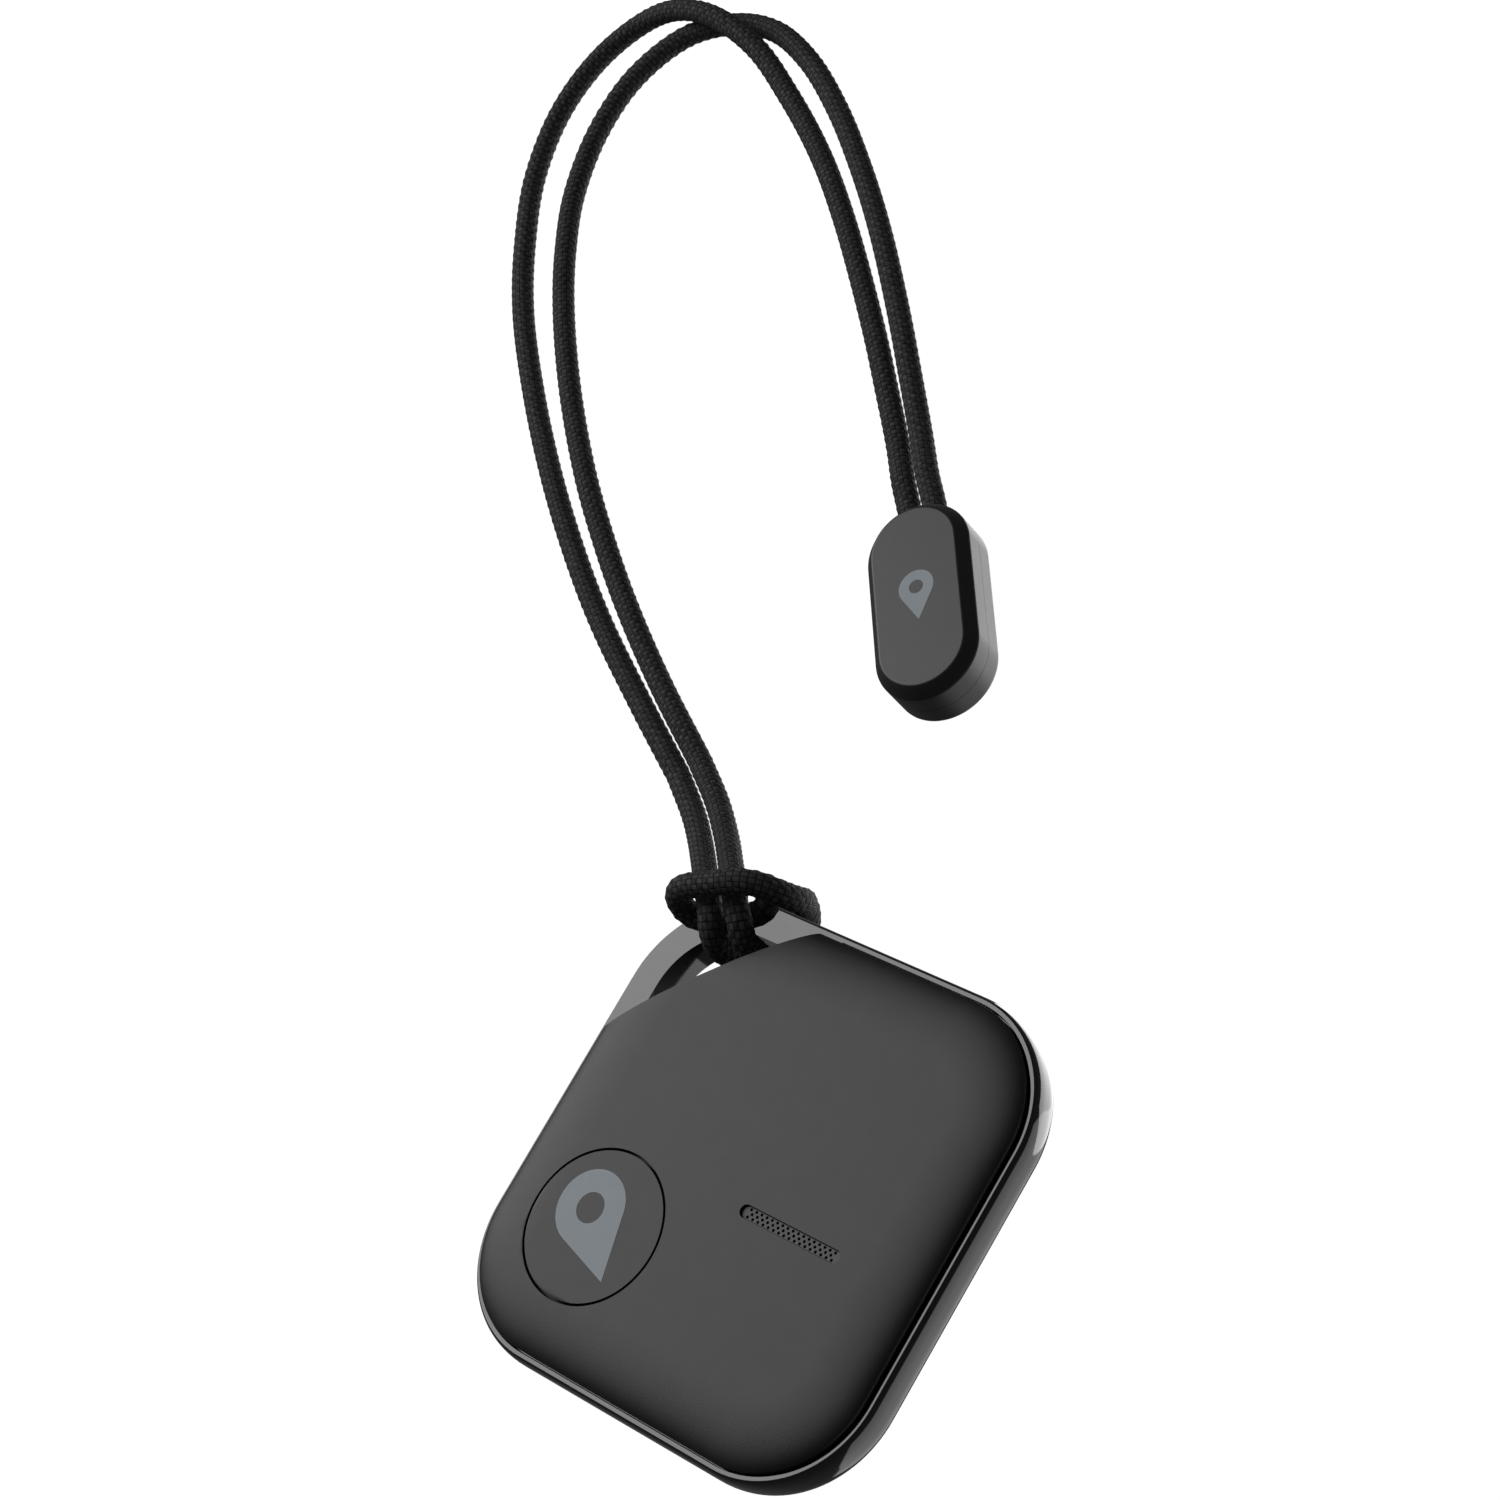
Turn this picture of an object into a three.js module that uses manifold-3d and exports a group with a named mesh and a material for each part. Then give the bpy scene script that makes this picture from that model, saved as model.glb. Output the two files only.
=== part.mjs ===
// A bluetooth tracker tag: a flat square case with a press button, a sounder, a coin cell behind a lift-off
// back cover, and a cord loop hitched through the eyelet in one corner and clamped in a stopper.
// Millimetres, +Z up. +X and +Y run along the case's sides, and the eyelet is in the (-X, +Y) corner.
// The origin is the centre of the case's outline, on the surface that the back cover rests on.
import * as THREE from "three";
import { mergeVertices } from "three/addons/utils/BufferGeometryUtils.js";
import Module from "manifold-3d";

const wasm = await Module();
wasm.setup();

// ---- Driving dimensions: case -------------------------------------------------------------------------
const FRAME_SIDE = 37; // across the frame's flat front rim
const FRAME_CORNER = 8.8; // corner radius of that rim
const FRAME_BULGE = 0.38; // how far the frame's wall swells past its rim
const WALL_FLAT = 0.3; // upright band at the middle of that wall
const RIM_WIDTH = 0.3; // flat rim that shows around the front cover
const EYELET_WIDTH = 2.35; // width of the frame around the eyelet
const WEB_HEIGHT = 0.8; // the ledge inside the frame that both covers meet
const WEB_WIDTH = 2.5; // from the rim's edge to the ledge's inner edge
const CORNER_CUT = 16.7; // from the centre to the covers' cut edge at the eyelet corner
const CUT_RADIUS = 120; // the cut edge bows outwards slightly
const BULKHEAD = 1; // frame wall between the eyelet and the inside

const BACK_HEIGHT = 2.4; // the back cover stands below the frame, which leaves room for the cord
const BACK_REBATE = 1.42; // frame wall beside the back cover's spigot
const BACK_INSET = 0.6; // from the frame's rim to the back cover's edge
const BACK_ROUND = 3; // how far the back cover's rounded edge runs in
const BACK_WALL = 0.8;
const SPIGOT_WALL = 0.9;

const COVER_EDGE = 0.35; // the front cover's edge stands above the frame's rim
const COVER_DOME = 0.95; // rise of the front cover from its edge to its crown
const COVER_ROUND = 5; // how far the dome's rounded edge runs in
const COVER_WALL = 0.9;
const SKIRT_WALL = 1.1;

const FIT = 0.1; // side clearance between nested pieces
const SEAT = 0.05; // clearance between pieces that rest on each other

// ---- Driving dimensions: button and sounder -----------------------------------------------------------
const BUTTON = { x: -8.75, y: -8.06, radius: 5.77, gap: 0.2, flange: 0.6, flangeHeight: 0.15 };
const BUTTON_TRAVEL = 0.2;
const SWITCH_SIZE = 3.6;
const SWITCH_HEIGHT = 0.22;
const SWITCH_DOME_RADIUS = 0.85;
const BOSS_RADIUS = 1.2;

const SLOT = { x: 6.5, y: -2.15, length: 9.4, width: 1 };
const GRILLE = {
  recess: 0.25, flange: 0.6, flangeHeight: 0.2, hole: 0.13, pitch: 0.5, row: 0.29, margin: 0.7,
};
const SOUNDER = { gap: 0.4, ringWall: 0.8, ringHeight: 0.28, plate: 0.12, disc: 0.12, discInset: 2.1 };
const SOUNDER_ROOM = 0.7; // between the board and the front cover

// ---- Driving dimensions: electronics and coin cell ----------------------------------------------------
const BOARD_THICKNESS = 0.6;
const BOARD_HOLE = 0.8; // radius
const CELL_RADIUS = 10;
const CELL_HEIGHT = 3.2;
const CELL_METAL = 0.25;
const CAP_INSET = 1.15; // from the can's side to the cap's
const CRIMP_DROP = 0.2; // from the cap's face to the can's rim
const CELL_CLEARANCE = 0.15; // under the cell
const CONTACT_ROOM = 0.25; // between the cell and the board
const HOLDER_WALL = 0.8;
const HOLDER_CLEARANCE = 0.3; // inside and outside the holder
const LEAF = { thickness: 0.15, width: 3 };
const SEAL = { wall: 0.8, height: 0.3 };

// ---- Driving dimensions: cord and stopper -------------------------------------------------------------
const CORD_RADIUS = 1;
const CORD_GAP = 0.3; // between the ends of two stretches of cord
const STOPPER = { x: -13.8, y: 44.8, turn: -51.75, length: 17.5, width: 8.64, height: 5.25 };
const STOPPER_CHAMFER = { run: 0.78, drop: 0.94 };
const BORE_CLEARANCE = 0.3; // around each cord in the stopper
const CRIMP = { length: 4.4, wall: 0.35, from: -2 }; // a sleeve round both cord ends

// The cord's route from the stopper, round the loop to the case, as [x, y, z].
const FIRST_STRAND = [
  [-13.8, 43.15, 2.62], [-20.1, 51, 2.55], [-23.3, 54.1, 2.1], [-26.3, 57.1, 1.4], [-30.9, 61.7, 1],
  [-35.8, 66.7, 1], [-44.6, 75, 1], [-50.9, 80.2, 1], [-57.5, 84.7, 1.3], [-63.2, 88, 2.3],
  [-69, 89.6, 3.15], [-73.9, 89.5, 2.8], [-78.2, 88, 1.5], [-80.9, 84.1, 1], [-81.5, 78.4, 1],
  [-79.8, 71.5, 1], [-76.1, 64.8, 1], [-71.8, 58.9, 1], [-65.4, 52.2, 1], [-57.9, 45.4, 1],
  [-50.6, 39.6, 1], [-44.2, 35.1, 1], [-36.2, 30.25, 1], [-28.65, 25.9, 1],
];
// From the first strand over the eyelet's rim, down through it, round behind and up, across and back
// as the noose round both strands, and through the eyelet again to the second strand.
const HITCH = [
  [-28.65, 25.9, 1], [-24.35, 23.3, 2.1], [-20.85, 21.2, 3.9], [-17.1, 18.95, 6.3], [-14.5, 17.3, 7.9],
  [-12.8, 15.9, 8.5], [-12.15, 14.6, 7.8], [-12.1, 14.05, 6.6], [-12.15, 14, 5.3], [-12.2, 14.15, 4],
  [-12.15, 14.35, 2.65], [-12.15, 14.95, 1.55], [-12.2, 16.1, 1.15], [-12.2, 17.7, 1.15],
  [-12.1, 18.95, 1.45], [-11.95, 19.65, 2.6], [-11.4, 19.85, 4], [-10.85, 19.8, 5.1],
  [-10.35, 19.35, 6], [-10.1, 18.6, 6.4], [-10.2, 17.75, 6.45], [-11.1, 16.95, 6.4],
  [-12.15, 16.2, 6.4], [-13.5, 15.75, 6.4], [-14.6, 15.35, 6.7], [-15.3, 15.25, 7.5],
  [-15.6, 15.6, 8.8], [-15, 16.15, 9.9], [-13.9, 16.6, 10.4], [-11.85, 17.4, 10.65],
  [-9.9, 18.35, 10.45], [-8.75, 18.8, 9.7], [-7.95, 19.05, 8.6], [-7.7, 19.35, 7.35],
  [-7.85, 19.65, 6.2], [-8.35, 19.9, 5.1], [-9.05, 19.95, 4], [-9.6, 19.8, 2.55], [-9.9, 19.05, 1.4],
  [-10.05, 17.8, 1.15], [-10.05, 16.5, 1.15], [-10.05, 15.5, 1.55], [-10.02, 15, 2.65],
  [-10, 15.04, 4.1], [-9.98, 15.06, 5.5], [-9.97, 15.2, 6.9], [-10.15, 16, 8.05], [-11, 17.1, 8.55],
  [-12.4, 18.3, 8], [-15.1, 20, 6.3], [-18.8, 22.25, 3.9], [-22.95, 24.9, 2.1], [-27.5, 27.6, 1],
];
const SECOND_STRAND = [
  [-27.5, 27.6, 1], [-35.15, 32.15, 1], [-42.2, 36.8, 1], [-47.9, 41, 1], [-54.6, 46.5, 1],
  [-61.8, 53.5, 1], [-67.7, 60.3, 1], [-71.3, 65.4, 1], [-74.2, 70.8, 1], [-75.9, 77.4, 1],
  [-75.5, 83.4, 1], [-72.6, 88.3, 1], [-68, 90.5, 1], [-63.4, 90.6, 1], [-58.1, 88.6, 1],
  [-52, 84.7, 1], [-45.9, 79.8, 1], [-40.4, 74.8, 1], [-34.2, 68.5, 1], [-29.3, 63.2, 1],
  [-24.8, 58.5, 1.4], [-21.7, 55.4, 2.1], [-18.45, 52.3, 2.55], [-12.15, 44.45, 2.62],
];
const STRAND_STEPS = 18;
const HITCH_STEPS = 48;
const CORD_SIDES = 8;

// ---- Heights that follow ------------------------------------------------------------------------------
const CELL_BOTTOM = BACK_WALL + CELL_CLEARANCE;
const CELL_TOP = CELL_BOTTOM + CELL_HEIGHT;
const BOARD_BOTTOM = CELL_TOP + CONTACT_ROOM;
const BOARD_TOP = BOARD_BOTTOM + BOARD_THICKNESS;
const CEILING = BOARD_TOP + SOUNDER_ROOM;
const CROWN = CEILING + COVER_WALL;
const COVER_EDGE_TOP = CROWN - COVER_DOME;
const FRAME_TOP = COVER_EDGE_TOP - COVER_EDGE;
const FRAME_BOTTOM = BACK_HEIGHT;
const WEB_TOP = BOARD_BOTTOM;
const WEB_BOTTOM = WEB_TOP - WEB_HEIGHT;
const SEAL_BOTTOM = WEB_BOTTOM - SEAT / 2 - SEAL.height;
const SPIGOT_TOP = SEAL_BOTTOM - SEAT / 2;

// ---- Insets and corner cuts that follow ---------------------------------------------------------------
// Each level of the case is the rim's outline moved in by an inset and cut at a distance from the centre.
const FRAME_HALF = FRAME_SIDE / 2;
const EVERYWHERE = 4; // cuts overshoot their piece by this much
const BULKHEAD_FACE = CORNER_CUT - FIT;
const INSIDE_CUT = BULKHEAD_FACE - BULKHEAD;
const COVER_INSET = RIM_WIDTH + FIT;
const SKIRT = { inset: COVER_INSET, cut: INSIDE_CUT - FIT };
const POCKET = { inset: COVER_INSET + SKIRT_WALL, cut: SKIRT.cut - SKIRT_WALL };
const BOARD = { inset: POCKET.inset + FIT, cut: POCKET.cut - FIT };
const WEB = { inset: WEB_WIDTH, cut: INSIDE_CUT - WEB_HEIGHT };
const REBATE = { inset: BACK_REBATE, cut: INSIDE_CUT };
const SPIGOT = { inset: REBATE.inset + FIT, cut: INSIDE_CUT - FIT };
const BACK_POCKET = { inset: SPIGOT.inset + SPIGOT_WALL, cut: SPIGOT.cut - SPIGOT_WALL };

// ---- Places that follow -------------------------------------------------------------------------------
const INNER_HALF = FRAME_HALF - WEB_WIDTH; // from the centre to the ledge's inner edge
const HOLDER_RADIUS = CELL_RADIUS + HOLDER_CLEARANCE + HOLDER_WALL;
const CELL_OFFSET = INNER_HALF - HOLDER_RADIUS - HOLDER_CLEARANCE;
const CELL = { x: CELL_OFFSET, y: -CELL_OFFSET }; // in the corner opposite the eyelet
const CUT_REACH = WEB.cut * Math.SQRT2 - INNER_HALF; // where the corner's cut meets the ledge's sides
const CORD_PITCH = 2 * CORD_RADIUS + FIT; // between the two cords in the stopper

// Chips soldered under the board, between the cell and the walls:
// [name, centre x, centre y, size x, size y, height]
const CHIPS = [
  ["radio_chip", 3.1 - INNER_HALF, CUT_REACH - 2.6, 5, 5, 0.75],
  ["crystal", 1.9 - INNER_HALF, CUT_REACH - 7.4, 3.2, 2.5, 0.6],
  ["capacitor_left", 4.6 - INNER_HALF, CUT_REACH + 2.5, 1.6, 0.8, 0.8],
  ["driver_chip", 0.5, INNER_HALF - 1.8, 3, 3, 0.6],
  ["chip_antenna", 8, INNER_HALF - 1.7, 7, 2, 0.9],
  ["boost_inductor", 7.4, INNER_HALF - 4.3, 3, 3, 1],
  ["capacitor_right", 11.2, INNER_HALF - 4.2, 0.8, 1.6, 0.8],
];

// ---- Materials ----------------------------------------------------------------------------------------
const finish = (color, roughness, metalness = 0) =>
  new THREE.MeshStandardMaterial({ color, roughness, metalness });
const MATT_BLACK = finish(0x4b4b4b, 0.55);
const GLOSS_BLACK = finish(0x161616, 0.12);
const SOFT_BLACK = finish(0x1d1d1f, 0.8);
const BRAID = finish(0x1b1b1c, 0.95);
const BOARD_GREEN = finish(0x1f4a35, 0.5);
const CHIP_BLACK = finish(0x202024, 0.45);
const CERAMIC = finish(0xd9d4c5, 0.6);
const STEEL = finish(0xc4c6c8, 0.3, 1);
const BRASS = finish(0xc7a25a, 0.32, 1);
const COPPER = finish(0xb9875c, 0.35, 1);
const FOAM = finish(0x2b2b2b, 0.95);

// ---- Solids -------------------------------------------------------------------------------------------
// A closed geometry as a manifold solid, from its positions alone.
function solid(geometry) {
  const bare = new THREE.BufferGeometry();
  bare.setAttribute("position", geometry.getAttribute("position").clone());
  if (geometry.index) bare.setIndex(geometry.index.clone());
  const merged = mergeVertices(bare, 1e-4);
  return new wasm.Manifold(
    new wasm.Mesh({
      numProp: 3,
      vertProperties: merged.getAttribute("position").array,
      triVerts: new Uint32Array(merged.index.array),
    }),
  );
}

// A manifold solid as a three.js geometry with one flat normal for each face.
function geometryOf(body) {
  const mesh = body.getMesh();
  const geometry = new THREE.BufferGeometry();
  geometry.setAttribute("position", new THREE.BufferAttribute(mesh.vertProperties, 3));
  geometry.setIndex(new THREE.BufferAttribute(mesh.triVerts, 1));
  const flat = geometry.toNonIndexed();
  flat.computeVertexNormals();
  return flat;
}

const cut = (body, ...tools) => tools.reduce((left, tool) => left.subtract(tool), body);
const join = (body, ...others) => others.reduce((sum, other) => sum.add(other), body);

// ---- Outlines and prisms ------------------------------------------------------------------------------
// The case's rounded square outline moved in by inset, with the eyelet corner cut off at a distance from
// the centre, or left whole when no distance is given.
function tagOutline(inset, cutDistance = null) {
  const half = FRAME_HALF - inset;
  const radius = FRAME_CORNER - inset;
  const arm = half - radius;
  const shape = new THREE.Shape();
  shape.absarc(-arm, -arm, radius, Math.PI, 1.5 * Math.PI);
  shape.absarc(arm, -arm, radius, 1.5 * Math.PI, 2 * Math.PI);
  shape.absarc(arm, arm, radius, 0, 0.5 * Math.PI);
  if (cutDistance === null) {
    shape.absarc(-arm, arm, radius, 0.5 * Math.PI, Math.PI);
  } else {
    const bow = CUT_RADIUS + cutDistance - CORNER_CUT;
    const middle = (bow - cutDistance) / Math.SQRT2;
    const reach = Math.asin((half + middle) / bow);
    shape.absarc(middle, -middle, bow, Math.PI - reach, 0.5 * Math.PI + reach);
  }
  shape.closePath();
  return shape;
}

function stadium(length, width, centre = { x: 0, y: 0 }) {
  const radius = width / 2;
  const arm = length / 2 - radius;
  const shape = new THREE.Shape();
  shape.absarc(centre.x + arm, centre.y, radius, -0.5 * Math.PI, 0.5 * Math.PI);
  shape.absarc(centre.x - arm, centre.y, radius, 0.5 * Math.PI, 1.5 * Math.PI);
  shape.closePath();
  return shape;
}

function circle(centre, radius) {
  return new THREE.Shape().absarc(centre.x, centre.y, radius, 0, 2 * Math.PI);
}

// An outline raised from one height to another.
function prism(shape, from, to, curveSegments = 6) {
  const options = { depth: to - from, bevelEnabled: false, curveSegments };
  return solid(new THREE.ExtrudeGeometry(shape, options).translate(0, 0, from));
}

function ring(centre, outer, inner, from, to, curveSegments = 18) {
  const shape = circle(centre, outer);
  shape.holes.push(circle(centre, inner));
  return prism(shape, from, to, curveSegments);
}

const disc = (centre, radius, from, to, curveSegments = 18) =>
  prism(circle(centre, radius), from, to, curveSegments);

const box = (x, y, width, depth, from, to) =>
  solid(new THREE.BoxGeometry(width, depth, to - from).translate(x, y, (from + to) / 2));

// One level of the case, cut at the eyelet corner.
const plate = (level, from, to) => prism(tagOutline(level.inset, level.cut), from, to);

// An outline whose upper and lower edges roll in by run over a height of rise.
function pillow(inset, run, rise, from, to, bevelSegments) {
  const geometry = new THREE.ExtrudeGeometry(tagOutline(inset + run), {
    depth: to - from - 2 * rise,
    bevelThickness: rise,
    bevelSize: run,
    bevelSegments,
    curveSegments: 6,
  });
  return solid(geometry.translate(0, 0, from + rise));
}

// ---- Case ---------------------------------------------------------------------------------------------
// The front cover's outer form before it is cut, reaching below the frame's ledge.
function coverBlank() {
  return pillow(COVER_INSET, COVER_ROUND, COVER_DOME, FRAME_BOTTOM, CROWN, 6);
}

function frontCover() {
  const base = WEB_TOP + FIT;
  const above = prism(tagOutline(-EVERYWHERE, CORNER_CUT), base, CROWN + 1);
  const underEdge = cut(
    prism(tagOutline(-EVERYWHERE), base - 1, FRAME_TOP + SEAT),
    prism(tagOutline(-EVERYWHERE, SKIRT.cut), base - 1, FRAME_TOP + SEAT),
  );
  const slot = prism(stadium(SLOT.length, SLOT.width, SLOT), CEILING - 1, CROWN + 1);
  const buttonHole = disc(BUTTON, BUTTON.radius + BUTTON.gap, CEILING - 1, CROWN + 1, 24);
  return cut(coverBlank().intersect(above), underEdge, plate(POCKET, base - 1, CEILING), buttonHole, slot);
}

function midFrame() {
  const rise = (FRAME_TOP - FRAME_BOTTOM - WALL_FLAT) / 2;
  const body = pillow(-FRAME_BULGE, FRAME_BULGE, rise, FRAME_BOTTOM, FRAME_TOP, 3);
  const under = FRAME_BOTTOM - 1;
  const over = FRAME_TOP + 1;
  const eyelet = cut(
    prism(tagOutline(EYELET_WIDTH), under, over),
    prism(tagOutline(-EVERYWHERE, BULKHEAD_FACE), under, over),
  );
  const coverRebate = plate({ inset: RIM_WIDTH, cut: INSIDE_CUT }, WEB_TOP, over);
  const backRebate = plate(REBATE, under, WEB_BOTTOM);
  return cut(body, eyelet, coverRebate, backRebate, plate(WEB, under, over));
}

function backCover() {
  const rise = BACK_HEIGHT - BACK_WALL / 2;
  const top = FRAME_BOTTOM - SEAT;
  const blank = pillow(BACK_INSET, BACK_ROUND, rise, 0, 2 * rise + BACK_WALL, 5);
  const shell = blank.intersect(prism(tagOutline(-EVERYWHERE, BULKHEAD_FACE), -1, top));
  const nailNotch = box(0, BACK_INSET - FRAME_HALF, 6, 1, top - 0.5, top + 0.5);
  const spigot = plate(SPIGOT, top - 1, SPIGOT_TOP);
  return cut(join(cut(shell, nailNotch), spigot), plate(BACK_POCKET, BACK_WALL, SPIGOT_TOP + 1));
}

function sealRing() {
  const top = SEAL_BOTTOM + SEAL.height;
  const inner = { inset: SPIGOT.inset + SEAL.wall, cut: SPIGOT.cut - SEAL.wall };
  return cut(plate(SPIGOT, SEAL_BOTTOM, top), plate(inner, SEAL_BOTTOM - 1, top + 1));
}

// ---- Button, switch and sounder -----------------------------------------------------------------------
function buttonCap() {
  const flangeTop = CEILING - SEAT;
  const flangeBottom = flangeTop - BUTTON.flangeHeight;
  const head = coverBlank().intersect(disc(BUTTON, BUTTON.radius, flangeBottom, CROWN + 1, 24));
  const flange = disc(BUTTON, BUTTON.radius + BUTTON.flange, flangeBottom, flangeTop, 24);
  return join(head, flange, disc(BUTTON, BOSS_RADIUS, flangeBottom - SEAT, flangeTop, 8));
}

function switchBase() {
  const shape = stadium(SWITCH_SIZE, SWITCH_SIZE * 0.75, BUTTON);
  shape.holes.push(circle(BUTTON, SWITCH_DOME_RADIUS + FIT));
  return prism(shape, BOARD_TOP, BOARD_TOP + SWITCH_HEIGHT, 8);
}

function switchDome() {
  const top = CEILING - SEAT - BUTTON.flangeHeight - 2 * SEAT;
  return disc(BUTTON, SWITCH_DOME_RADIUS, BOARD_TOP + SWITCH_HEIGHT, top, 10);
}

function grilleHoles() {
  const holes = [];
  const longRow = Math.round((SLOT.length - 2 * GRILLE.margin) / GRILLE.pitch) + 1;
  for (const row of [-1, 0, 1]) {
    const count = longRow - (row === 0 ? 1 : 0);
    for (let i = 0; i < count; i++) {
      const x = SLOT.x + (i - (count - 1) / 2) * GRILLE.pitch;
      holes.push(circle({ x, y: SLOT.y + row * GRILLE.row }, GRILLE.hole));
    }
  }
  return holes;
}

function speakerGrille() {
  const bottom = CEILING - GRILLE.flangeHeight;
  const face = stadium(SLOT.length - FIT, SLOT.width - FIT, SLOT);
  face.holes.push(...grilleHoles());
  const wide = stadium(SLOT.length + 2 * GRILLE.flange, SLOT.width + 2 * GRILLE.flange, SLOT);
  wide.holes.push(stadium(SLOT.length - 3 * FIT, SLOT.width - 3 * FIT, SLOT));
  return join(prism(face, bottom, CROWN - GRILLE.recess, 3), prism(wide, bottom, CEILING - SEAT / 2, 6));
}

function sounderPieces() {
  const inner = SLOT.length / 2 + GRILLE.flange + SOUNDER.gap;
  const outer = inner + SOUNDER.ringWall;
  const ringTop = CEILING - SEAT / 2;
  const ringBottom = ringTop - SOUNDER.ringHeight;
  const plateBottom = ringBottom - SOUNDER.plate;
  return {
    ring: ring(SLOT, outer, inner, ringBottom, ringTop),
    plate: disc(SLOT, outer, plateBottom, ringBottom),
    disc: disc(SLOT, outer - SOUNDER.discInset, plateBottom - SOUNDER.disc, plateBottom),
  };
}

// ---- Board, chips, coin cell and contacts -------------------------------------------------------------
function mainBoard() {
  const corner = FRAME_HALF - BOARD.inset - 3 * BOARD_HOLE;
  const holes = [
    { x: corner, y: corner - 2 },
    { x: -corner, y: -corner + 2 },
  ].map((place) => disc(place, BOARD_HOLE, BOARD_BOTTOM - 1, BOARD_TOP + 1, 6));
  return cut(plate(BOARD, BOARD_BOTTOM, BOARD_TOP), ...holes);
}

const chip = (x, y, width, depth, height) =>
  box(x, y, width, depth, BOARD_BOTTOM - SEAT - height, BOARD_BOTTOM - SEAT);

function cellPieces() {
  const inner = CELL_RADIUS - CELL_METAL;
  const cap = CELL_RADIUS - CAP_INSET;
  const rim = CELL_TOP - CRIMP_DROP;
  const floor = CELL_BOTTOM + CELL_METAL;
  const capBottom = CELL_BOTTOM + 0.75 * CELL_HEIGHT;
  const capCeiling = CELL_TOP - CELL_METAL;
  return {
    can: cut(disc(CELL, CELL_RADIUS, CELL_BOTTOM, rim, 24), disc(CELL, inner, floor, rim + 1, 24)),
    gasket: ring(CELL, inner - SEAT, cap + SEAT, capBottom, rim, 24),
    cap: cut(disc(CELL, cap, capBottom, CELL_TOP, 24), disc(CELL, cap - CELL_METAL, floor, capCeiling, 24)),
    core: disc(CELL, inner - FIT, floor + SEAT, capBottom - SEAT),
  };
}

function cellHolder() {
  const inner = CELL_RADIUS + HOLDER_CLEARANCE;
  const bottom = BACK_WALL * 2;
  const top = BOARD_BOTTOM - 4 * SEAT;
  const notch = box(CELL.x - CELL_RADIUS, CELL.y, 4, LEAF.width + 1, 0, BOARD_TOP);
  return cut(ring(CELL, HOLDER_RADIUS, inner, bottom, top, 20), notch);
}

// A leaf down the cell's side, with its foot under the board.
function positiveContact() {
  const side = CELL.x - CELL_RADIUS - SEAT - LEAF.thickness / 2;
  const top = BOARD_BOTTOM - SEAT;
  const leaf = box(side, CELL.y, LEAF.thickness, LEAF.width, CELL_BOTTOM + 3 * CELL_METAL, top);
  const foot = box(side - 1, CELL.y, 2 + LEAF.thickness, LEAF.width, top - LEAF.thickness, top);
  return join(leaf, foot);
}

// A leaf under the board, with a dimple that presses on the cell's cap.
function negativeContact() {
  const top = BOARD_BOTTOM - SEAT;
  const leaf = box(CELL.x, CELL.y, 3 * LEAF.width, LEAF.width, top - LEAF.thickness / 2, top);
  return join(leaf, disc(CELL, LEAF.width / 4, CELL_TOP + SEAT / 2, top, 6));
}

// ---- Cord stopper -------------------------------------------------------------------------------------
// The stopper is made along X about its own centre, then turned and placed. The cords enter at -X.
function placeStopper(body) {
  return geometryOf(body)
    .rotateZ(THREE.MathUtils.degToRad(STOPPER.turn))
    .translate(STOPPER.x, STOPPER.y, 0);
}

function stopperBlank() {
  const { run, drop } = STOPPER_CHAMFER;
  const geometry = new THREE.ExtrudeGeometry(stadium(STOPPER.length - 2 * run, STOPPER.width - 2 * run), {
    depth: STOPPER.height - 2 * drop,
    bevelThickness: drop,
    bevelSize: run,
    bevelSegments: 1,
    curveSegments: 8,
  });
  return solid(geometry.translate(0, 0, drop));
}

// Lies along X at the height of the cords.
function rod(y, radius, from, to) {
  const geometry = new THREE.CylinderGeometry(radius, radius, to - from, 12)
    .rotateZ(Math.PI / 2)
    .translate((from + to) / 2, y, STOPPER.height / 2);
  return solid(geometry);
}

function cordPair(radius, from, to) {
  return join(rod(CORD_PITCH / 2, radius, from, to), rod(-CORD_PITCH / 2, radius, from, to));
}

function stopperHollow() {
  const entry = cordPair(CORD_RADIUS + BORE_CLEARANCE, -STOPPER.length, CRIMP.from);
  const size = [
    CRIMP.length + 2 * FIT,
    2 * CORD_PITCH + 2 * CRIMP.wall + 2 * FIT,
    2 * CORD_RADIUS + 4 * CRIMP.wall,
  ];
  const seat = new THREE.BoxGeometry(...size).translate(CRIMP.from + CRIMP.length / 2, 0, STOPPER.height / 2);
  return join(entry, solid(seat));
}

function stopperShells() {
  const hollow = cut(stopperBlank(), stopperHollow());
  const middle = STOPPER.height / 2;
  const half = (from, to) => hollow.intersect(box(0, 0, 2 * STOPPER.length, 2 * STOPPER.width, from, to));
  return { front: half(middle, STOPPER.height + 1), rear: half(-1, middle - SEAT) };
}

// A sleeve pressed flat round both cord ends.
function cordCrimp() {
  const height = 2 * CORD_RADIUS + 2 * CRIMP.wall;
  const outer = new THREE.BoxGeometry(CRIMP.length, 2 * CORD_PITCH + 2 * CRIMP.wall - FIT, height);
  const block = solid(outer.translate(CRIMP.from + CRIMP.length / 2, 0, STOPPER.height / 2));
  return cut(block, cordPair(CORD_RADIUS + FIT, CRIMP.from - 1, CRIMP.from + CRIMP.length - CRIMP.wall));
}

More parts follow.
